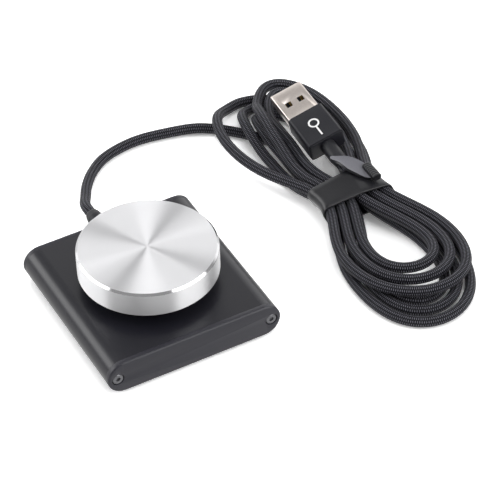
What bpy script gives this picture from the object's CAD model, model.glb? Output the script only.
# %% [markdown]
# A desk-top volume knob, dressed for the camera. The object is a dark round-sided aluminium base, a bright
# turned knob on it, and a braided lead tied up as a hank with its plug lying on top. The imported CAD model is
# loaded first and never moved: every piece made below sits in the same metres as the solids that it dresses.

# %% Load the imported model
import math
from contextlib import contextmanager
import bpy
import bmesh
from mathutils import Matrix, Vector


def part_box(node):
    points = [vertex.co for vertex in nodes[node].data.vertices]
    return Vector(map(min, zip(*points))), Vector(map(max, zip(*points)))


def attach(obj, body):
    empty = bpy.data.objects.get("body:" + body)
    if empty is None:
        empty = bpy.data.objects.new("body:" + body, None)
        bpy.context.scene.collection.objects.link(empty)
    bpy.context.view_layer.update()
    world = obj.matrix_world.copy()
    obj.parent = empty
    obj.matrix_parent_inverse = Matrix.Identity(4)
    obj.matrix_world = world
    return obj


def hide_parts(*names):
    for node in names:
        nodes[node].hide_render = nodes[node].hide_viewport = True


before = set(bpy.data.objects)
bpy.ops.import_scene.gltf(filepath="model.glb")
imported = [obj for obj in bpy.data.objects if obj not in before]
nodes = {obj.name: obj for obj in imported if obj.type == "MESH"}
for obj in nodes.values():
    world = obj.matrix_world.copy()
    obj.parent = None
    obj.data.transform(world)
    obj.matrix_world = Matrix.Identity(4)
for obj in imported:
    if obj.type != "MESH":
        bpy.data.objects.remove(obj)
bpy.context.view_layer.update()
scene = bpy.context.scene
scene.view_settings.view_transform = "Standard"
mm = 0.001

# %% [markdown]
# The camera stands where the photograph was taken. Its place was solved from the outlines of the base and
# the knob and from the end screws: a long lens, looking down by 42 degrees, turned 27 degrees to the front
# left corner. A long lens is why the far edge of the base is hardly shorter than the near one. The place and
# the two directions are typed in, because a camera aimed by a helper would lose the slight roll of the photo.

# %% Camera
CAMERA_PLACE = Vector((-0.259855, -0.575126, 0.591335))
CAMERA_RIGHT = Vector((0.87797, -0.47809, -0.02438))
CAMERA_UP = Vector((0.33633, 0.57980, 0.74210))
LENS_LENGTH = 189.47
SENSOR_WIDTH = 36.0
NEAREST, FARTHEST = 0.05, 20


def place_camera():
    lens = bpy.data.cameras.new("camera")
    lens.sensor_width = SENSOR_WIDTH
    lens.lens = LENS_LENGTH
    lens.clip_start = NEAREST
    lens.clip_end = FARTHEST
    camera = bpy.data.objects.new("camera", lens)
    scene.collection.objects.link(camera)
    back = CAMERA_RIGHT.cross(CAMERA_UP)
    turn = Matrix((CAMERA_RIGHT, CAMERA_UP, back)).transposed().to_4x4()
    camera.matrix_world = Matrix.Translation(CAMERA_PLACE) @ turn
    scene.camera = camera
    return camera


camera = place_camera()
print("camera", tuple(round(c, 3) for c in camera.matrix_world.translation))

# %% [markdown]
# Small helpers come next. A finish is a Principled shader with a few nodes that vary its colour, roughness
# or relief over the surface; a number that is the same all over is set on the shader's own socket.

# %% Helpers for finishes
def add_node(tree, kind, **values):
    node = tree.nodes.new(kind)
    for key, value in values.items():
        if key in node.inputs:
            node.inputs[key].default_value = value
        else:
            setattr(node, key, value)
    return node


def feed(tree, socket, value):
    # a socket takes a link from another node, or a plain value
    if isinstance(value, bpy.types.NodeSocket):
        tree.links.new(value, socket)
    else:
        socket.default_value = value


def calculate(tree, operation, *values):
    node = add_node(tree, "ShaderNodeMath", operation=operation)
    for socket, value in zip(node.inputs, values):
        feed(tree, socket, value)
    return node.outputs[0]


def finish_material(name, color, rough, metal=0.0, **sockets):
    material = bpy.data.materials.new(name)
    material.use_nodes = True
    shader = material.node_tree.nodes["Principled BSDF"]
    shader.inputs["Base Color"].default_value = (*color, 1)
    shader.inputs["Roughness"].default_value = rough
    shader.inputs["Metallic"].default_value = metal
    for socket, value in sockets.items():
        shader.inputs[socket.replace("_", " ")].default_value = value
    return material, material.node_tree, shader


def object_place(tree):
    return add_node(tree, "ShaderNodeTexCoord").outputs["Object"]


def spread(tree, amount, **values):
    node = add_node(tree, "ShaderNodeMapRange")
    feed(tree, node.inputs["Value"], amount)
    for name, value in values.items():
        feed(tree, node.inputs[name.replace("_", " ")], value)
    return node.outputs[0]


def shade(tree, amount, start, end, dark, light):
    # the colour goes from dark to light while the amount goes from start to end
    mix = add_node(tree, "ShaderNodeMix", data_type="RGBA")
    feed(tree, mix.inputs[0], spread(tree, amount, From_Min=start, From_Max=end))
    feed(tree, mix.inputs[6], dark)
    feed(tree, mix.inputs[7], light)
    return mix.outputs[2]


def relief(tree, height, tooth, depth):
    bump = add_node(tree, "ShaderNodeBump")
    for name, value in (("Height", height), ("Strength", tooth), ("Distance", depth)):
        feed(tree, bump.inputs[name], value)
    return bump.outputs[0]


# %% [markdown]
# Nearly every finish needs grain: a noise that shifts its colour or its roughness a little and gives it a
# tooth. The nodes could be set down anew in each material, but a node group is built once and placed in each
# with its own values, so that one change to it reaches them all.

# %% Node groups
VECTOR, BLACK, WHITE = (0, 0, 0), (0, 0, 0, 1), (1, 1, 1, 1)


def new_group(name, inputs, outputs):
    # a shader node group: its tree, what it is given, and the sockets that take its results
    group = bpy.data.node_groups.new(name, "ShaderNodeTree")
    for way, sockets in (("INPUT", inputs), ("OUTPUT", outputs)):
        for socket, value in sockets.items():
            kind = "Float" if isinstance(value, (int, float)) else "Color" if len(value) == 4 else "Vector"
            made = group.interface.new_socket(socket, in_out=way, socket_type="NodeSocket" + kind)
            made.default_value = value
    return group, group.nodes.new("NodeGroupInput").outputs, group.nodes.new("NodeGroupOutput").inputs


def place_group(tree, group, **values):
    node = add_node(tree, "ShaderNodeGroup", node_tree=group)
    for name, value in values.items():
        feed(tree, node.inputs[name.replace("_", " ")], value)
    return node.outputs


# %% Grain: one group for most finishes
def grain_group():
    group, given, result = new_group(
        "grain", {"Place": VECTOR, "Scale": 2500, "Detail": 3, "Start": 0.35, "End": 0.7, "Dark": BLACK,
                  "Light": WHITE, "Smoothest": 0.3, "Roughest": 0.5, "Tooth": 0.3, "Depth": 0.02 * mm},
        {"Color": BLACK, "Roughness": 0, "Normal": VECTOR})
    noise = add_node(group, "ShaderNodeTexNoise")
    for socket, name in (("Vector", "Place"), ("Scale", "Scale"), ("Detail", "Detail")):
        feed(group, noise.inputs[socket], given[name])
    height = noise.outputs[0]
    feed(group, result["Color"],
         shade(group, height, given["Start"], given["End"], given["Dark"], given["Light"]))
    feed(group, result["Roughness"],
         spread(group, height, To_Min=given["Smoothest"], To_Max=given["Roughest"]))
    feed(group, result["Normal"], relief(group, height, given["Tooth"], given["Depth"]))
    return group


grain = grain_group()
print("node group", grain.name, "with", len(grain.interface.items_tree), "sockets")

# %% [markdown]
# A piece is a mesh whose points are already in their place, so that its object stays at the origin, unturned.
# A bevel on sharp edges and a smooth shade between them is what makes a machined or moulded part look real;
# edges that stay sharp are marked by their angle, so that no edge is chosen by hand.

# %% Helpers for pieces
def new_piece(name, verts, faces, materials, smooth=True, uvs=None):
    mesh = bpy.data.meshes.new(name)
    mesh.from_pydata([tuple(v) for v in verts], [], faces)
    for material in materials:
        mesh.materials.append(material)
    if uvs:
        layer = mesh.uv_layers.new(name="UVMap")
        for loop, uv in zip(layer.data, uvs):
            loop.uv = uv
    mesh.polygons.foreach_set("use_smooth", [smooth] * len(mesh.polygons))
    mesh.update()
    piece = bpy.data.objects.new(name, mesh)
    scene.collection.objects.link(piece)
    return piece


@contextmanager
def editing(piece):
    # the piece's mesh opened for an edit and written back at its end
    work = bmesh.new()
    work.from_mesh(piece.data)
    yield work
    work.to_mesh(piece.data)
    work.free()


def sharpen(piece, degrees):
    with editing(piece) as work:
        for edge in work.edges:
            if len(edge.link_faces) == 2 and edge.calc_face_angle(0) > math.radians(degrees):
                edge.smooth = False


def smooth_all(piece):
    piece.data.polygons.foreach_set("use_smooth", [True] * len(piece.data.polygons))


def face_outward(piece):
    with editing(piece) as work:
        bmesh.ops.recalc_face_normals(work, faces=work.faces)


def apply_modifiers(piece):
    view = bpy.context.evaluated_depsgraph_get()
    mesh = bpy.data.meshes.new_from_object(piece.evaluated_get(view))
    piece.modifiers.clear()
    piece.data = mesh


def soften_edges(piece, width, segments, degrees=30):
    bevel = piece.modifiers.new("bevel", "BEVEL")
    bevel.width = width
    bevel.segments = segments
    bevel.limit_method = "ANGLE"
    bevel.angle_limit = math.radians(degrees)
    bevel.harden_normals = False
    apply_modifiers(piece)
    smooth_all(piece)
    sharpen(piece, 40)


# %% [markdown]
# The lead is one unbroken cord. It drops from the gland, runs round behind the base, and is wound into five
# and a half long loops drawn in at the waist; the last run comes up under the strap into the plug. A cord
# this long could be draped by a simulation, but the loops of a hank lie in order, so one rule of the turn
# count places them, the same as in the solids: the lower layer spirals out, the upper one spirals in.

# %% Cord: sizes of the hank, in millimetres
CORD = 3.6
TAPE = 0.8
AIR = 0.45
HANK_X, HANK_Y, STRAP_Y = 81.5, 10, 9.0
# the outermost loop, half its width and length in each lobe, and how much less each further turn has
NEAR_REACH, FAR_REACH = 67.5, 66
NEAR_WIDTH, FAR_WIDTH = 22.5, 21.5
NEAR_BELLY, FAR_BELLY = 12.0, 9.5
LOBE_STEP = 5.15
# the waist: half its width, what each further turn has less, and how far the narrow part reaches
WAIST_WIDTH, WAIST_STEP, WAIST_RUN = 11.6, 3.9, 19
# the upper layer begins at this turn, this much higher
LAYER_TURN, LAYER_STEP = 3, 4.1
LEAN_RUN = 60
DRAWN_IN = 4.0
# every strand rises over the tape, and those that cross the lead rise over it
OVER_STRAP, STRAP_RUN = TAPE + AIR, 16
OVER_LEAD = CORD + 1.4
CROSSING_X, CROSSING_Y = 63, 59.3
CROSSING_WAY = (0.756, 0.655)
CROSSING_LEFT, CROSSING_RIGHT = 50, 74
TOP_TURN = 3.3
TOP_HUMP, LOW_HUMP = 19, 15
print("hank", NEAR_REACH + FAR_REACH, "mm long on its middle line")


# %% Cord: the rule of the hank
def soft(x):
    x = min(1.0, max(0.0, x))
    return x * x * (3 - 2 * x)


def rising(value, start, length):
    return soft((value - start) / length)


def loop_span(turn, c, along):
    # half the width of a loop: wide in the two lobes, narrow where the strap draws it in
    near_part = soft(0.5 - c)
    out = abs(LAYER_TURN - turn)
    belly = NEAR_BELLY if c < 0 else FAR_BELLY
    wide = NEAR_WIDTH * near_part + FAR_WIDTH * (1 - near_part) - LOBE_STEP * out + belly * c * c
    drawn = math.exp(-(along / WAIST_RUN) ** 2)
    return wide * (1 - drawn) + (WAIST_WIDTH - WAIST_STEP * out) * drawn


def hump(turn, x, y):
    # the left strands of the far lobe climb over the lead, which comes in under them
    off = abs((x - CROSSING_X) * CROSSING_WAY[0] + (y - CROSSING_Y) * CROSSING_WAY[1])
    on_top = turn > TOP_TURN
    reach = TOP_HUMP if on_top else LOW_HUMP
    bump = (1 + math.cos(math.pi * min(1, off / reach))) / 2
    bump = bump * soft((CROSSING_RIGHT - x) / 6) * rising(x, CROSSING_LEFT, 3)
    share = 0 if turn < 0.6 else 1 - 0.93 * rising(turn, 2.95, 0.1) * (1 - rising(turn, 3.4, 0.3))
    return OVER_LEAD * (1.1 if on_top else 1) * share * bump


def drawn_in(along):
    # the far lobe's left strands are pulled towards the plug
    return DRAWN_IN * rising(along, 10, 22) * (1 - rising(along, 60, 30))


def strand(turn):
    c, s = math.cos(2 * math.pi * turn), math.sin(2 * math.pi * turn)
    out = abs(LAYER_TURN - turn)
    # how far the cord has climbed on to the upper layer, and has fanned out there
    upper = rising(turn, 3.05, 0.4)
    fan = rising(turn, 3.2, 0.6)
    near_reach = NEAR_REACH - LOBE_STEP * out - upper * (9.5 + turn - 3.5)
    far_reach = FAR_REACH - LOBE_STEP * out + 4 * fan
    along = c * (near_reach if c < 0 else far_reach)
    # the lobes lean over: those of the lower layer to the left, those of the upper one to the right
    far = min(1.3, max(0, along / LEAN_RUN)) ** 2
    near = min(1.3, max(0, -along / LEAN_RUN)) ** 2
    across = far * (2 * fan - 6.5 * (1 - fan)) + near * (3.5 * upper - 2.5 * (1 - upper))
    # the climbing strand strays to the left, and the last run makes room for the plug
    across -= 2.2 * math.exp(-((turn - 3.135) / 0.07) ** 2) + 0.3 * rising(turn, 5.5, 0.15)
    across -= s * loop_span(turn, c, along)
    x, y = HANK_X + across, HANK_Y + along
    z = CORD / 2 + LAYER_STEP * rising(turn, 3.02, 0.075) + hump(turn, x, y)
    stray = rising(turn, 2.55, 0.25) * (1 - rising(turn, 3.5, 0.3))
    x += drawn_in(along) * soft(0.5 + 1.2 * s) * (1 - stray)
    return Vector((x, y, z + OVER_STRAP * math.exp(-((y - STRAP_Y) / STRAP_RUN) ** 2)))


middle_strand = strand(LAYER_TURN)
print("the middle turn reaches y", round(middle_strand.y, 1), "mm")

# %% [markdown]
# The free runs at both ends follow points chosen by hand, as the cord lies by its own weight there, and a
# smooth curve is laid through them. Each curve also takes in two points of the loops, so that the cord goes
# on without a kink. The braid is a little fatter than the solid cord, so the route is raised by as much.

# %% Cord: the whole route
FIRST_TURN, LAST_TURN = 4 / 24, 136 / 24
LOOP_POINTS = 760
LEAD_STEPS, TAIL_STEPS = 5, 8
BRAID_FATTER = 0.06
LEAD = [(0, 43.5, 6.6), (0, 47.1, 6.4), (0.9, 50.8, 5.3), (3.2, 55.5, 3.6), (6.8, 62, 2.4), (11.8, 68, 1.9),
        (18, 72.5, 1.9), (26, 75, 1.9), (34, 75.6, 1.9), (42, 74.4, 1.9), (49, 71.7, 1.9), (55.5, 67.6, 1.9),
        (61, 62.4, 1.9), (65.5, 57, 1.9), (69.1, 51.5, 1.9), (71.3, 46.5, 1.9)]
TAIL = [(82.9, 1.5, 7.6), (82.3, 6.5, 8.2), (82.9, 12, 8.9), (84, 16.32, 9.64), (84, 19.9, 10)]


def smooth_run(points, steps):
    # a smooth curve through the points, with so many steps from each to the next
    run = []
    for i in range(len(points) - 1):
        a = points[max(0, i - 1)]
        b, c = points[i], points[i + 1]
        d = points[min(len(points) - 1, i + 2)]
        for k in range(steps):
            t = k / steps
            point = 2 * b + (c - a) * t
            point += (2 * a - 5 * b + 4 * c - d) * t * t
            point += (3 * b - a - 3 * c + d) * t ** 3
            run.append(0.5 * point)
    run.append(points[-1])
    return run


def cord_route():
    turns = [FIRST_TURN + (LAST_TURN - FIRST_TURN) * k / LOOP_POINTS for k in range(LOOP_POINTS + 1)]
    loops = [strand(turn) for turn in turns]
    lead = [Vector((x + drawn_in(y - HANK_Y) * rising(x, 40, 10), y, z)) for x, y, z in LEAD]
    tail = [Vector(p) for p in TAIL]
    # a second point on the loops gives each run its direction there, and its last stretch is dropped again
    before = smooth_run(lead + [loops[0], loops[4]], LEAD_STEPS)[:-LEAD_STEPS]
    after = smooth_run([loops[-4], loops[-1]] + tail, TAIL_STEPS)[TAIL_STEPS:]
    return before[:-1] + loops + after[1:]


route = [(p + Vector((0, 0, BRAID_FATTER))) * mm for p in cord_route()]

# %% [markdown]
# The cord is jacketed in a nylon braid: thin black yarns crossing on the bias, whose crowns catch the light
# as rows of small dots. A real weave would be millions of faces, so the yarns are colour and relief: two
# waves that run round the cord in opposite directions, and a crown wherever both are high.

# %% Finish: braid
BUNDLES = 5
CROWN_STEP = 0.68 * mm


def braid_material():
    material, tree, shader = finish_material("braided_nylon", (0.014, 0.014, 0.017), 0.5, Sheen_Weight=0.04,
                                             Sheen_Roughness=0.4, Specular_IOR_Level=0.12)
    place = add_node(tree, "ShaderNodeUVMap", uv_map="UVMap")
    split = add_node(tree, "ShaderNodeSeparateXYZ")
    tree.links.new(place.outputs[0], split.inputs[0])

    def yarns(sign):
        along = calculate(tree, "MULTIPLY", split.outputs[0], sign / CROWN_STEP)
        around = calculate(tree, "MULTIPLY_ADD", split.outputs[1], BUNDLES, along)
        wave = calculate(tree, "SINE", calculate(tree, "MULTIPLY", around, math.pi))
        return calculate(tree, "ABSOLUTE", wave)

    crowns = calculate(tree, "MULTIPLY", yarns(1), yarns(-1))
    tone = shade(tree, crowns, 0.5, 1.0, (0.0035, 0.0035, 0.0055, 1), (0.19, 0.189, 0.222, 1))
    feed(tree, shader.inputs["Base Color"], tone)
    feed(tree, shader.inputs["Normal"], relief(tree, crowns, 0.8, 0.25 * mm))
    return material


braid = braid_material()
print("braid of", BUNDLES, "bundles each way, a crown every", round(CROWN_STEP / mm, 2), "mm")

# %% [markdown]
# The cord itself is a tube swept along the route. A curve with a round bevel would do it too, but a mesh made
# ring by ring gets a map of its own, one unit round and real metres along, so that the braid follows every
# bend without stretching.

# %% Cord: sweep the tube
CORD_SIDES = 20


def sweep(name, path, radius, sides, material):
    verts, uvs, faces = [], [], []
    run = 0.0
    lengths = []
    for i, p in enumerate(path):
        run += (p - path[i - 1]).length if i else 0.0
        lengths.append(run)
        ahead = (path[min(i + 1, len(path) - 1)] - path[max(i - 1, 0)]).normalized()
        side = ahead.cross(Vector((0, 0, 1))).normalized()
        up = side.cross(ahead)
        for k in range(sides):
            a = 2 * math.pi * k / sides
            verts.append(p + radius * (math.cos(a) * side + math.sin(a) * up))
    for i in range(len(path) - 1):
        for k in range(sides):
            n = (k + 1) % sides
            faces.append((i * sides + k, i * sides + n, (i + 1) * sides + n, (i + 1) * sides + k))
            uvs += [(lengths[i], k / sides), (lengths[i], (k + 1) / sides),
                    (lengths[i + 1], (k + 1) / sides), (lengths[i + 1], k / sides)]
    last = (len(path) - 1) * sides
    faces.append(tuple(range(sides)))
    faces.append(tuple(last + k for k in reversed(range(sides))))
    uvs += [(0, 0)] * (2 * sides)
    piece = new_piece(name, verts, faces, [material], uvs=uvs)
    face_outward(piece)
    return piece


cord = sweep("braided_cord", route, (CORD / 2 + BRAID_FATTER) * mm, CORD_SIDES, braid)
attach(cord, "base")
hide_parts("cord_lead", "cord_hank", "cord_tail")
print("cord", len(cord.data.polygons), "faces")

# %% [markdown]
# The knob is turned on a lathe from solid aluminium: a face with fine rings round its axis, a narrow polished
# bevel at the rim and a satin side. Turned rings spread each reflection across them, which makes the bright
# and dark fans on the face. The shader's anisotropy does the same, if its tangent runs round the rings and is
# turned by a quarter, because its roughness is the greater along the tangent.

# %% Finish: turned aluminium
RINGS_PER_METRE = 900.0


def turned_metal(name, color, rough, strokes, smoothest, roughest, tooth=0.0):
    material, tree, shader = finish_material(name, color, rough, 1.0, Anisotropic=1.0,
                                             Anisotropic_Rotation=0.25)
    tangent = add_node(tree, "ShaderNodeTangent", direction_type="UV_MAP", uv_map="UVMap")
    tree.links.new(tangent.outputs[0], shader.inputs["Tangent"])
    place = add_node(tree, "ShaderNodeUVMap", uv_map="UVMap")
    stretch = add_node(tree, "ShaderNodeMapping")
    stretch.inputs["Scale"].default_value = (strokes, RINGS_PER_METRE, 1.0)
    tree.links.new(place.outputs[0], stretch.inputs[0])
    rings = place_group(tree, grain, Place=stretch.outputs[0], Scale=1.0, Smoothest=smoothest,
                        Roughest=roughest, Tooth=tooth)
    feed(tree, shader.inputs["Roughness"], rings["Roughness"])
    if tooth:
        feed(tree, shader.inputs["Normal"], rings["Normal"])
    return material


face_finish = turned_metal("turned_face", (0.84, 0.84, 0.855), 0.4, 2.0, 0.34, 0.48, tooth=0.15)
side_finish = turned_metal("turned_side", (0.78, 0.78, 0.79), 0.44, 3.0, 0.38, 0.5)
bevel_finish = finish_material("polished_bevel", (0.62, 0.62, 0.63), 0.10, 1.0)[0]
print("knob finishes:", face_finish.name, side_finish.name, bevel_finish.name)

# %% [markdown]
# The knob's mesh is made as the lathe makes the part: a profile spun round the axis. Screw and Spin would
# give the same shape, but here each step of the profile also gets its own finish, and the map runs round the
# rings, which the finishes need for their tangent.

# %% Knob: spin the profile
def lathe(name, profile, sides, materials, slots):
    # profile: (radius, height) pairs in millimetres, from the axis outward and round; slots: one per step
    verts, faces, uvs, which = [], [], [], []
    rings = []
    for r, z in profile:
        count = sides if r else 1
        rings.append(list(range(len(verts), len(verts) + count)))
        for k in range(count):
            a = 2 * math.pi * k / sides
            verts.append((r * mm * math.cos(a), r * mm * math.sin(a), z * mm))
    run = 0.0
    for i in range(len(profile) - 1):
        a, b = rings[i], rings[i + 1]
        end = run + math.dist(profile[i], profile[i + 1]) * mm
        for k in range(sides):
            n = (k + 1) % sides
            u0, u1 = k / sides, (k + 1) / sides
            if len(a) == 1:
                faces.append((a[0], b[k], b[n]))
                uvs += [((u0 + u1) / 2, run), (u0, end), (u1, end)]
            elif len(b) == 1:
                faces.append((a[k], b[0], a[n]))
                uvs += [(u0, run), ((u0 + u1) / 2, end), (u1, run)]
            else:
                faces.append((a[k], b[k], b[n], a[n]))
                uvs += [(u0, run), (u0, end), (u1, end), (u1, run)]
            which.append(slots[i])
        run = end
    piece = new_piece(name, verts, faces, materials, uvs=uvs)
    piece.data.polygons.foreach_set("material_index", which)
    face_outward(piece)
    sharpen(piece, 20)
    return piece


# %% Knob: its profile, in millimetres
KNOB_SIDES = 256
KNOB_TOP, KNOB_WALL = 1.6, 2.6
RIM_BEVEL, RIM_ROUND, RIM_DEEP = 0.7, 0.04, 0.75
FOOT_BEVEL = 0.25
BOSS_RADIUS, BORE_RADIUS, BOSS_RISE = 6.5, 5.05, 0.5
# rings on the face, so that its map runs round evenly and no face is a long sliver
FACE_RINGS = (2, 5, 9, 13, 17, 21)
FACE, SIDE, BEVEL = 0, 1, 2


def make_knob():
    low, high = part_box("knob")
    radius, bottom, top = high[0] / mm, low[2] / mm, high[2] / mm
    ceiling = top - KNOB_TOP
    face = [(0, top)] + [(r, top) for r in FACE_RINGS] + [(radius - RIM_BEVEL, top)]
    rim = [(radius - RIM_ROUND, top - RIM_BEVEL + RIM_ROUND), (radius, top - RIM_DEEP)]
    foot = [(radius, bottom + FOOT_BEVEL), (radius - FOOT_BEVEL, bottom)]
    hollow = [(radius - KNOB_WALL, bottom), (radius - KNOB_WALL, ceiling), (BOSS_RADIUS, ceiling),
              (BOSS_RADIUS, bottom + BOSS_RISE), (BORE_RADIUS, bottom + BOSS_RISE), (BORE_RADIUS, ceiling),
              (0, ceiling)]
    slots = [FACE] * (len(face) - 1) + [BEVEL, BEVEL, SIDE, BEVEL] + [SIDE] * len(hollow)
    finishes = [face_finish, side_finish, bevel_finish]
    return lathe("turned_knob", face + rim + foot + hollow, KNOB_SIDES, finishes, slots)


knob = make_knob()
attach(knob, "knob")
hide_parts("knob")
print("knob", len(knob.data.polygons), "faces")

# %% [markdown]
# The base is an extruded aluminium tube with a flat plate at each end, blasted and anodised black. Black
# anodising hides the metal, so the finish is a dark coat with a plain gloss, a fine tooth from the blasting
# and slow clouds in its roughness. The end plates are milled and a little duller than the drawn tube.

# %% Finish: black anodised metal
def anodised(name, color, rough, tooth):
    material, tree, shader = finish_material(name, color, rough, Specular_IOR_Level=0.5)
    place = object_place(tree)
    blasting = place_group(tree, grain, Place=place, Scale=2600.0, Detail=2.0, Tooth=tooth, Depth=0.03 * mm)
    clouds = place_group(tree, grain, Place=place, Scale=60.0, Smoothest=rough - 0.04, Roughest=rough + 0.05)
    feed(tree, shader.inputs["Normal"], blasting["Normal"])
    feed(tree, shader.inputs["Roughness"], clouds["Roughness"])
    return material


tube_finish = anodised("black_anodised", (0.009, 0.0088, 0.0135), 0.29, 0.4)
plate_finish = anodised("plate_anodised", (0.018, 0.0175, 0.0255), 0.42, 0.2)
print("base finishes:", tube_finish.name, plate_finish.name)

# %% [markdown]
# The tube keeps its own solid and only takes the finish. An end plate is a flat disc whose edge is broken by
# a small bevel that draws a thin line of light round it. A CAD mesh is loose triangles and stays untouched,
# so the plate is a copy of it, merged and made whole, with the bevel added.

# %% Base: dress the tube, soften the plates
PLATE_EDGE = 0.12


def dress(names, material):
    for name in names:
        node = nodes[name]
        node.data.materials.clear()
        node.data.materials.append(material)


def solid_copy(name, source, material, width=0.0, segments=2):
    mesh = nodes[source].data.copy()
    mesh.transform(nodes[source].matrix_world)
    mesh.materials.clear()
    mesh.materials.append(material)
    piece = bpy.data.objects.new(name, mesh)
    scene.collection.objects.link(piece)
    with editing(piece) as work:
        bmesh.ops.remove_doubles(work, verts=work.verts, dist=1e-6)
        bmesh.ops.dissolve_limit(work, angle_limit=math.radians(1.0), verts=work.verts, edges=work.edges)
        bmesh.ops.recalc_face_normals(work, faces=work.faces)
    if width:
        soften_edges(piece, width, segments)
    return piece


def take_place(piece, body, slot, *replaced):
    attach(piece, body)
    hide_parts(*replaced)
    print(piece.name, len(piece.data.polygons), "faces")
    return piece


dress(["housing"], tube_finish)
for plate in ("front_plate", "rear_plate"):
    softened = solid_copy("softened_" + plate, plate, plate_finish, PLATE_EDGE * mm)
    take_place(softened, "base", "dark_anodised", plate)

# %% [markdown]
# The small parts follow: socket screws in black oxide, rubber feet, and everything inside the base, which
# shows only when someone takes it apart. Each gets its own finish, two near colours mixed by the grain and
# a little relief, because no moulded or plated part is one flat tone.

# %% Finishes of the small parts
POLISHED = 0.005 * mm
TOOTHED = 0.02 * mm


def speckled(name, dark, light, rough, scale, metal=0.0, depth=TOOTHED):
    shine = 0.5 if metal else 0.3
    material, tree, shader = finish_material(name, dark, rough, metal, Specular_IOR_Level=shine)
    speckle = place_group(tree, grain, Place=object_place(tree), Scale=scale, Dark=(*dark, 1),
                          Light=(*light, 1), Depth=depth)
    feed(tree, shader.inputs["Base Color"], speckle["Color"])
    feed(tree, shader.inputs["Normal"], speckle["Normal"])
    return material


screw_black = speckled("black_oxide", (0.13, 0.13, 0.14), (0.19, 0.19, 0.20), 0.34, 2500, 0.7)
rubber = speckled("foot_rubber", (0.012, 0.012, 0.012), (0.020, 0.020, 0.020), 0.8, 3000)
soft_rubber = speckled("relief_rubber", (0.012, 0.012, 0.015), (0.018, 0.018, 0.022), 0.45, 2500)
grip_plastic = speckled("grip_plastic", (0.010, 0.010, 0.014), (0.015, 0.015, 0.020), 0.45, 3500)
laminate = speckled("board_laminate", (0.010, 0.085, 0.035), (0.015, 0.11, 0.045), 0.35, 900)
chip_black = speckled("chip_resin", (0.012, 0.012, 0.013), (0.02, 0.02, 0.021), 0.6, 4000)
nickel = speckled("nickel_plate", (0.68, 0.615, 0.575), (0.74, 0.675, 0.63), 0.3, 1500, 1.0, POLISHED)
steel = speckled("bright_steel", (0.55, 0.55, 0.56), (0.62, 0.62, 0.63), 0.3, 1500, 1.0, POLISHED)
die_cast = speckled("die_cast_zinc", (0.42, 0.42, 0.43), (0.50, 0.50, 0.51), 0.45, 2000, 1.0)
ceramic = speckled("ceramic_brown", (0.32, 0.22, 0.13), (0.40, 0.28, 0.17), 0.55, 2500)
ivory = speckled("ivory_nylon", (0.74, 0.70, 0.60), (0.78, 0.74, 0.64), 0.5, 1800)
wire_red = speckled("wire_skin", (0.42, 0.02, 0.02), (0.5, 0.03, 0.03), 0.4, 1500)
gold = speckled("contact_gold", (0.83, 0.60, 0.26), (0.88, 0.66, 0.32), 0.25, 1500, 1.0, 0.004 * mm)
print_white = speckled("print_white", (0.80, 0.80, 0.80), (0.84, 0.84, 0.84), 0.6, 2500)
tongue_black = speckled("tongue_plastic", (0.012, 0.012, 0.013), (0.018, 0.018, 0.020), 0.4, 2500)
print("finishes so far", len(bpy.data.materials))

# %% Small parts that keep their solids
DRESSED = [
    (rubber, ["feet"]),
    (laminate, ["circuit_board"]),
    (chip_black, ["controller_chip", "encoder_case", "knob_insert"]),
    (steel, ["crystal", "encoder_pins", "detent_spring", "switch_dome", "washer", "nut"]),
    (ceramic, ["capacitors"]),
    (ivory, ["cable_header", "cable_plug", "encoder_rotor"]),
    (wire_red, ["inner_wires"]),
    (die_cast, ["encoder_bushing", "encoder_shaft"]),
    (soft_rubber, ["strain_relief", "plug_relief"]),
    (print_white, ["plug_mark"]),
    (tongue_black, ["plug_tongue"]),
    (gold, ["plug_contacts"]),
]
for finish, names in DRESSED:
    dress(names, finish)
print("dressed", sum(len(names) for finish, names in DRESSED), "small parts")

# %% [markdown]
# Two rules repeat a thing along a line: the screws of an end plate, and the ribs woven into the strap's
# stitched loop. Both could be loops in code, but one Geometry Nodes tree with named inputs serves both: a
# line of points that carries copies of a piece, made real at its end, because the export drops instances.

# %% Repeats: a line of copies
def line_of_copies():
    tree = bpy.data.node_groups.new("line_of_copies", "GeometryNodeTree")
    face = tree.interface
    face.new_socket("Geometry", in_out="INPUT", socket_type="NodeSocketGeometry")
    keys = {}
    for name, kind in (("Piece", "Object"), ("Count", "Int"), ("Start", "Vector"), ("Step", "Vector"),
                       ("Finish", "Material")):
        socket = face.new_socket(name, in_out="INPUT", socket_type="NodeSocket" + kind)
        keys[name] = socket.identifier
    face.new_socket("Geometry", in_out="OUTPUT", socket_type="NodeSocketGeometry")
    source, sink = tree.nodes.new("NodeGroupInput"), tree.nodes.new("NodeGroupOutput")
    line = add_node(tree, "GeometryNodeMeshLine", mode="OFFSET")
    tree.links.new(source.outputs["Count"], line.inputs["Count"])
    tree.links.new(source.outputs["Start"], line.inputs["Start Location"])
    tree.links.new(source.outputs["Step"], line.inputs["Offset"])
    info = add_node(tree, "GeometryNodeObjectInfo", transform_space="ORIGINAL")
    tree.links.new(source.outputs["Piece"], info.inputs["Object"])
    place = add_node(tree, "GeometryNodeInstanceOnPoints")
    tree.links.new(line.outputs[0], place.inputs["Points"])
    tree.links.new(info.outputs["Geometry"], place.inputs["Instance"])
    real = add_node(tree, "GeometryNodeRealizeInstances")
    tree.links.new(place.outputs[0], real.inputs[0])
    paint = add_node(tree, "GeometryNodeSetMaterial")
    tree.links.new(real.outputs[0], paint.inputs["Geometry"])
    tree.links.new(source.outputs["Finish"], paint.inputs["Material"])
    tree.links.new(paint.outputs[0], sink.inputs[0])
    return tree, keys


copies_tree, copies_keys = line_of_copies()


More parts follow.
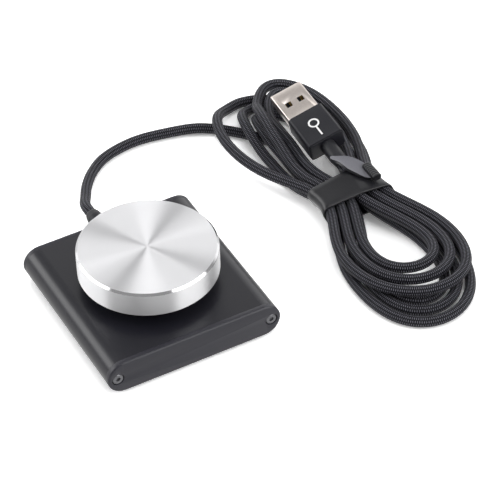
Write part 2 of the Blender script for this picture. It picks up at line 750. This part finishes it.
def row_of(name, master, count, start, step, material):
    piece = new_piece(name, [(0, 0, 0)], [], [material])
    row = piece.modifiers.new("row", "NODES")
    row.node_group = copies_tree
    settings = {"Piece": master, "Count": count, "Start": start, "Step": step, "Finish": material}
    for key, value in settings.items():
        row[copies_keys[key]] = value
    apply_modifiers(piece)
    smooth_all(piece)
    sharpen(piece, 35)
    return piece


print("node tree", copies_tree.name, "with inputs", ", ".join(copies_keys))

# %% [markdown]
# Each end plate is held by two M2 socket screws in the axis of its round ends. The solid of both screws is
# copied, one of them is cut off, and the other, moved to the origin and given soft edges, is the model that
# the line of copies sets down twice.

# %% Screws: one model, two to a plate
SCREW_HEAD = 3.8
SCREW_EDGE = 0.09


def make_screws(plate, source):
    model = solid_copy("screw_model", source, screw_black)
    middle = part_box(source)[1][0] - SCREW_HEAD / 2 * mm
    with editing(model) as work:
        bmesh.ops.delete(work, geom=[v for v in work.verts if v.co.x < 0], context="VERTS")
        for v in work.verts:
            v.co.x -= middle
    soften_edges(model, SCREW_EDGE * mm, 2, 40)
    screws = row_of(plate + "_socket_screws", model, 2, (-middle, 0, 0), (2 * middle, 0, 0), screw_black)
    bpy.data.objects.remove(model)
    return take_place(screws, "base", "black_steel", source)


make_screws("front", "front_screws")
make_screws("rear", "rear_screws")

# %% [markdown]
# The plug is a moulded grip whose edges are well rounded, and a shell folded from nickelled sheet. Their
# outlines are right in the solids, so both are softened copies; what the camera needs is the way in which
# the edges turn the light, wide on the plastic and tight on the sheet.

# %% Plug
GRIP_EDGE = 0.35
SHELL_EDGE = 0.08

grip = solid_copy("moulded_grip", "plug_overmould", grip_plastic, GRIP_EDGE * mm, 3)
take_place(grip, "base", "moulded_grip", "plug_overmould")
shell = solid_copy("folded_shell", "plug_shell", nickel, SHELL_EDGE * mm, 2)
take_place(shell, "base", "nickel", "plug_shell")

# %% [markdown]
# The strap is one length of thin woven tape. It goes round the waist, its end is a stitched loop with ribs,
# and its grey free leaf is pulled out of that loop and lies dished on the plug's tail. The tape's threads
# are too fine for a mesh, so a band pattern broken up by a noise gives their colour and relief. Both tapes
# are the same weave, so it is a node group as well.

# %% Finish: woven tape
def weave_group():
    group, given, result = new_group(
        "weave", {"Place": VECTOR, "Threads": 500, "Dark": BLACK, "Light": WHITE},
        {"Color": BLACK, "Normal": VECTOR})
    noise = add_node(group, "ShaderNodeTexNoise", Scale=2600.0, Detail=3.0)
    bands = add_node(group, "ShaderNodeTexWave", wave_type="BANDS", bands_direction="Y", Distortion=0.6)
    feed(group, noise.inputs["Vector"], given["Place"])
    feed(group, bands.inputs["Vector"], given["Place"])
    feed(group, bands.inputs["Scale"], given["Threads"])
    both = calculate(group, "MULTIPLY", noise.outputs[0], bands.outputs["Fac"])
    feed(group, result["Color"], shade(group, both, 0.1, 0.6, given["Dark"], given["Light"]))
    feed(group, result["Normal"], relief(group, both, 0.35, 0.04 * mm))
    return group


weave = weave_group()


def tape(name, dark, light, rough, threads):
    material, tree, shader = finish_material(name, dark, rough, Sheen_Weight=0.05, Sheen_Roughness=0.45,
                                             Specular_IOR_Level=0.45)
    cloth = place_group(tree, weave, Place=object_place(tree), Threads=threads, Dark=(*dark, 1),
                        Light=(*light, 1))
    feed(tree, shader.inputs["Base Color"], cloth["Color"])
    feed(tree, shader.inputs["Normal"], cloth["Normal"])
    return material


tape_black = tape("tape_black", (0.005, 0.005, 0.007), (0.010, 0.010, 0.013), 0.33, 500)
tape_grey = tape("tape_grey", (0.14, 0.14, 0.158), (0.175, 0.175, 0.195), 0.75, 900)
print("tape finishes:", tape_black.name, tape_grey.name)

# %% [markdown]
# The band is pulled tight, so its outline follows from the strands inside it: at each place along its width
# the tape runs straight from one outer strand to the next. The outline is found from the farthest reach of
# the strands in every direction, which is how a tape behaves when it is tightened. The solid band is a plain
# ring with room to spare; this one hugs the cord.

# %% Strap: the outline of a tight tape
def strands_at(y):
    # where the cord crosses the plane at y, as points across (x) and up (z)
    found = []
    for a, b in zip(route, route[1:]):
        if (a.y - y) * (b.y - y) < 0:
            p = a.lerp(b, (y - a.y) / (b.y - a.y))
            found.append(Vector((p.x, p.z)))
    return found


def hug(points, centre, spare, count):
    # the farthest reach of the strands is measured every two degrees, and the tape stays inside all of them
    reach = []
    for k in range(180):
        a = math.radians(2 * k)
        way = Vector((math.cos(a), math.sin(a)))
        reach.append((a, max((p - centre).dot(way) for p in points) + spare))
    outline = []
    for k in range(count):
        t = 2 * math.pi * (k + 0.5) / count
        r = min(h / math.cos(a - t) for a, h in reach if math.cos(a - t) > 0.1)
        outline.append(centre + r * Vector((math.cos(t), math.sin(t))))
    return outline


print("strands under the strap", len(strands_at(STRAP_Y * mm)))

# %% Strap: band
BAND_STEPS, BAND_STATIONS = 120, 7
BAND_RIM = 0.3 * mm
# the rounded edge of the tape: how far through its thickness, and how far in from the edge
BAND_LIP = ((0.12, 0.08 * mm), (0.5, 0), (0.88, 0.08 * mm))
STRAND_ROOM = 2.05 * mm
BUNDLE_HEIGHT = 6.5 * mm
FLAT_HALF = 8 * mm


def make_band():
    low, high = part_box("strap_band")
    middle, front, back = (high[0] + low[0]) / 2, low[1], high[1]
    centre = Vector((middle, BUNDLE_HEIGHT))
    last = BAND_STATIONS - 1
    stations = [front + BAND_RIM + (back - front - 2 * BAND_RIM) * j / last for j in range(BAND_STATIONS)]
    inner, outer = [], []
    for y in stations:
        # the two added points keep the tape flat where it lies on the table
        points = strands_at(y)
        points += [Vector((middle + side * FLAT_HALF, TAPE * mm + STRAND_ROOM)) for side in (-1, 1)]
        inner.append(hug(points, centre, STRAND_ROOM, BAND_STEPS))
        outer.append(hug(points, centre, STRAND_ROOM + TAPE * mm, BAND_STEPS))
    verts, faces = [], []
    for k in range(BAND_STEPS):
        ring = [(outer[j][k], y) for j, y in enumerate(stations)]
        ring += [(outer[last][k].lerp(inner[last][k], t), back - lip) for t, lip in BAND_LIP]
        ring += [(inner[j][k], stations[j]) for j in reversed(range(BAND_STATIONS))]
        ring += [(inner[0][k].lerp(outer[0][k], t), front + lip) for t, lip in BAND_LIP]
        verts += [(p.x, y, p.y) for p, y in ring]
    wide = 2 * (BAND_STATIONS + len(BAND_LIP))
    for k in range(BAND_STEPS):
        for i in range(wide):
            n, j = (k + 1) % BAND_STEPS, (i + 1) % wide
            faces.append((k * wide + i, n * wide + i, n * wide + j, k * wide + j))
    piece = new_piece("tape_band", verts, faces, [tape_black])
    face_outward(piece)
    return take_place(piece, "base", "strap_black", "strap_band")


band = make_band()

# %% [markdown]
# The loop and the leaf lie on the band, so they come down with it. A piece that only came down would seem to
# slide forward in the photo, so it also goes back, by 1.28 mm for each millimetre down, which is the slope
# of the camera's upward direction.

# %% Strap: how far the loop settles
STEP_BACK = 1.28

roll_low, roll_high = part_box("strap_roll")
seat = max(v.co.z for v in band.data.vertices if roll_low[0] < v.co.x < roll_high[0])
settle = Vector((0, STEP_BACK * (roll_low[2] - seat), seat - roll_low[2]))
print("the loop settles by", tuple(round(c / mm, 2) for c in settle), "mm")

# %% [markdown]
# The grey leaf is the free end of the tape, wider in the middle, rounded at its tip and dished like a spoon.
# It is a sheet laid out from its outline and given its thickness by Solidify, grey on top and black on the
# rim and below. Its root moves down with the loop and its tip stays where the solid has it.

# %% Strap: grey leaf
LEAF_X, LEAF_Y = HANK_X + 6.6, STRAP_Y - 1.4
LEAF_TURN = 27
LEAF_ROWS, LEAF_ACROSS = 4, 12
LEAF_DISH, LEAF_LIFT = 0.9, 0.5
# along the leaf, then its left and right edge, in millimetres
LEAF_MARKS = [(-1.8, -1.35, -0.4), (0.0, -2.1, 1.3), (1.6, -2.45, 2.8), (4.0, -2.8, 3.0), (7.0, -3.0, 2.95),
              (10.0, -2.4, 2.3), (12.6, -1.7, 1.55), (15.0, -1.15, 1.05), (16.0, -0.75, 0.75),
              (16.45, -0.3, 0.3)]


def make_leaf():
    root = Vector((LEAF_X * mm, LEAF_Y * mm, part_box("strap_band")[1][2]))
    turn = Matrix.Rotation(math.radians(LEAF_TURN), 3, "Z")
    rows, verts, faces = [], [], []
    for mark, following in zip(LEAF_MARKS, LEAF_MARKS[1:]):
        for k in range(LEAF_ROWS):
            t = k / LEAF_ROWS
            rows.append([a * (1 - t) + b * t for a, b in zip(mark, following)])
    rows.append(LEAF_MARKS[-1])
    for y, left, right in rows:
        for k in range(LEAF_ACROSS + 1):
            t = k / LEAF_ACROSS
            dish = LEAF_DISH * (2 * t - 1) ** 2 * rising(y, -1, 5) * (1 - rising(y, 11, 5))
            lift = LEAF_LIFT * rising(y, 2, 8) * (1 - rising(y, 10, 7))
            place = turn @ Vector(((left + (right - left) * t) * mm, y * mm, (TAPE + dish + lift) * mm))
            verts.append(root + place + settle * (1 - soft(y / 14)))
    wide = LEAF_ACROSS + 1
    for i in range(len(rows) - 1):
        for k in range(LEAF_ACROSS):
            faces.append((i * wide + k, i * wide + k + 1, (i + 1) * wide + k + 1, (i + 1) * wide + k))
    piece = new_piece("grey_leaf", verts, faces, [tape_grey, tape_black])
    thick = piece.modifiers.new("thick", "SOLIDIFY")
    thick.thickness = TAPE * mm
    thick.offset = -1
    thick.material_offset = 1
    thick.material_offset_rim = 1
    apply_modifiers(piece)
    sharpen(piece, 50)
    return take_place(piece, "base", "strap_grey", "strap_leaf")


leaf = make_leaf()

# %% [markdown]
# The stitched loop is a small roll of tape with eight ribs across it. One rib is modelled, a flat ring with
# soft shoulders, and the line of copies sets the row down; the ribs overlap a little, as threads do.

# %% Strap: ribbed loop
RIBS = 8
RIB_SIDES = 28
RIB_OVERLAP = 1.04
RIB_SQUARENESS = 0.7
# along the rib as a share of its pitch, and how far the shoulder is in there, in millimetres
RIB_SHOULDER = ((-0.5, 0.16), (-0.36, 0.05), (0, 0), (0.36, 0.05), (0.5, 0.16))


def make_rib(wide, tall, pitch):
    verts, faces = [], []
    for share, inset in RIB_SHOULDER:
        for k in range(RIB_SIDES):
            a = 2 * math.pi * k / RIB_SIDES
            c, s = math.cos(a), math.sin(a)
            x = math.copysign(abs(c) ** RIB_SQUARENESS, c) * (wide / 2 - inset * mm)
            z = math.copysign(abs(s) ** RIB_SQUARENESS, s) * (tall / 2 - inset * mm)
            verts.append((x, share * pitch * RIB_OVERLAP, z))
    last = len(RIB_SHOULDER) - 1
    for i in range(last):
        for k in range(RIB_SIDES):
            n = (k + 1) % RIB_SIDES
            here, there = i * RIB_SIDES, (i + 1) * RIB_SIDES
            faces.append((here + k, here + n, there + n, there + k))
    faces += [tuple(range(RIB_SIDES)), tuple(last * RIB_SIDES + k for k in range(RIB_SIDES))]
    rib = new_piece("rib_model", verts, faces, [tape_black])
    face_outward(rib)
    return rib


def make_roll():
    low, high = roll_low, roll_high
    pitch = (high[1] - low[1]) / RIBS
    rib = make_rib(high[0] - low[0], high[2] - low[2], pitch)
    start = Vector(((low[0] + high[0]) / 2, low[1] + pitch / 2, (low[2] + high[2]) / 2)) + settle
    roll = row_of("ribbed_loop", rib, RIBS, start, (0, pitch, 0), tape_black)
    bpy.data.objects.remove(rib)
    return take_place(roll, "base", "strap_black", "strap_roll")


roll = make_roll()

# %% [markdown]
# The cord is declared last, when the pieces that lie on it exist: whoever uses the part can then lay it out
# anew, with its gland, plug and strap, and knows how long, how thick and how limp it is.

# %% [markdown]
# The object stands on a white table. To the camera the open table is a little brighter than white, so it is
# as white as the background, and goes grey only where the object keeps the light off: the shadow stays. Metal
# mirrors plain white in it, and all other rays meet a pale table that lights the object from below as a real
# one does.

# %% Table
TABLE_HALF = 3.0
TABLE_DROP = 0.2 * mm


def table_finish():
    material = bpy.data.materials.new("white_table")
    material.use_nodes = True
    tree = material.node_tree
    tree.nodes.clear()
    out = add_node(tree, "ShaderNodeOutputMaterial")
    plain = add_node(tree, "ShaderNodeBsdfDiffuse", Color=(0.8, 0.8, 0.8, 1))
    shaded = add_node(tree, "ShaderNodeBsdfDiffuse", Color=(1.5, 1.5, 1.5, 1))
    glow = add_node(tree, "ShaderNodeEmission", Color=(1, 1, 1, 1), Strength=0.1)
    mirrored = add_node(tree, "ShaderNodeEmission", Color=(1, 1, 1, 1), Strength=1.0)
    ray = add_node(tree, "ShaderNodeLightPath").outputs
    seen = add_node(tree, "ShaderNodeAddShader")
    tree.links.new(shaded.outputs[0], seen.inputs[0])
    tree.links.new(glow.outputs[0], seen.inputs[1])
    in_metal = calculate(tree, "MAXIMUM", ray["Is Glossy Ray"], ray["Is Transmission Ray"])
    bounced = add_node(tree, "ShaderNodeMixShader")
    whole = add_node(tree, "ShaderNodeMixShader")
    for mix, share, otherwise, then in ((bounced, in_metal, plain, mirrored),
                                        (whole, ray["Is Camera Ray"], bounced, seen)):
        tree.links.new(share, mix.inputs[0])
        tree.links.new(otherwise.outputs[0], mix.inputs[1])
        tree.links.new(then.outputs[0], mix.inputs[2])
    tree.links.new(whole.outputs[0], out.inputs[0])
    return material


corners = [(x * TABLE_HALF, y * TABLE_HALF, -TABLE_DROP) for x, y in ((-1, -1), (1, -1), (1, 1), (-1, 1))]
table = new_piece("table", corners, [(0, 1, 2, 3)], [table_finish()], smooth=False)
print("table", 2 * TABLE_HALF, "m wide")

# %% [markdown]
# The light is a tent: a dim sky all round with a few soft boxes painted on it, whose places were found from
# the fans on the knob's face and the bands on its side. Lamps would do as well, but a box on the sky has a
# soft rim and no falloff, and metal mirrors it as it would a real soft box. The camera sees plain white.

# %% World: one soft box
def soft_box_group():
    # one soft box on the sky: centre and half size in degrees, with a soft rim
    group, given, result = new_group("soft_box", {"Turn": 0, "Lift": 0, "Centre turn": 0, "Centre lift": 0,
                                                  "Half turn": 10, "Half lift": 10, "Rim": 4}, {"Mask": 0})

    def side(angle, centre, half):
        off = calculate(group, "ABSOLUTE", calculate(group, "SUBTRACT", given[angle], given[centre]))
        inside = calculate(group, "SUBTRACT", given[half], off)
        ease = add_node(group, "ShaderNodeMapRange", interpolation_type="SMOOTHSTEP")
        ease.inputs["From Min"].default_value = -0.5
        ease.inputs["From Max"].default_value = 0.5
        group.links.new(calculate(group, "DIVIDE", inside, given["Rim"]), ease.inputs[0])
        return ease.outputs[0]

    feed(group, result["Mask"], calculate(group, "MULTIPLY", side("Turn", "Centre turn", "Half turn"),
                                          side("Lift", "Centre lift", "Half lift")))
    return group


# %% World: a tent of soft boxes
SKY_LEVEL = 0.42
# centre turn, centre lift, half turn, half lift and rim, in degrees from +X and from the horizon; strength
SOFT_BOXES = [
    (149, 25, 30, 13.5, 6, 3.3),  # left, behind the base
    (-50, 36, 27, 12, 5, 4.0),  # right, in front, high
    (-49, 8, 27, 18, 5, 1.3),  # the same side, low and faint
    (62, 12, 62, 26, 16, 1.15),  # right and behind, wide and faint
    (0, 90, 400, 16, 6, 3.1),  # overhead, all round
]


def sky_angles(tree):
    place = add_node(tree, "ShaderNodeTexCoord")
    unit = add_node(tree, "ShaderNodeVectorMath", operation="NORMALIZE")
    tree.links.new(place.outputs["Generated"], unit.inputs[0])
    split = add_node(tree, "ShaderNodeSeparateXYZ")
    tree.links.new(unit.outputs[0], split.inputs[0])
    turn = calculate(tree, "ARCTAN2", split.outputs[1], split.outputs[0])
    lift = calculate(tree, "ARCSINE", split.outputs[2])
    return [calculate(tree, "MULTIPLY", angle, 180 / math.pi) for angle in (turn, lift)]


def make_world(level, boxes):
    world = bpy.data.worlds.new("studio")
    scene.world = world
    world.use_nodes = True
    tree = world.node_tree
    turn, lift = sky_angles(tree)
    group = soft_box_group()
    total = level
    for *shape, strength in boxes:
        box = add_node(tree, "ShaderNodeGroup", node_tree=group)
        tree.links.new(turn, box.inputs["Turn"])
        tree.links.new(lift, box.inputs["Lift"])
        for name, value in zip(("Centre turn", "Centre lift", "Half turn", "Half lift", "Rim"), shape):
            box.inputs[name].default_value = value
        total = calculate(tree, "MULTIPLY_ADD", box.outputs[0], strength, total)
    ray = add_node(tree, "ShaderNodeLightPath")
    seen = add_node(tree, "ShaderNodeMix", data_type="FLOAT")
    tree.links.new(ray.outputs["Is Camera Ray"], seen.inputs[0])
    tree.links.new(total, seen.inputs[2])
    seen.inputs[3].default_value = 1.0
    sky = tree.nodes["Background"]
    tree.links.new(seen.outputs[0], sky.inputs[1])
    sky.inputs[0].default_value = (1, 1, 1, 1)


make_world(SKY_LEVEL, SOFT_BOXES)
print("sky at", SKY_LEVEL, "with", len(SOFT_BOXES), "soft boxes")
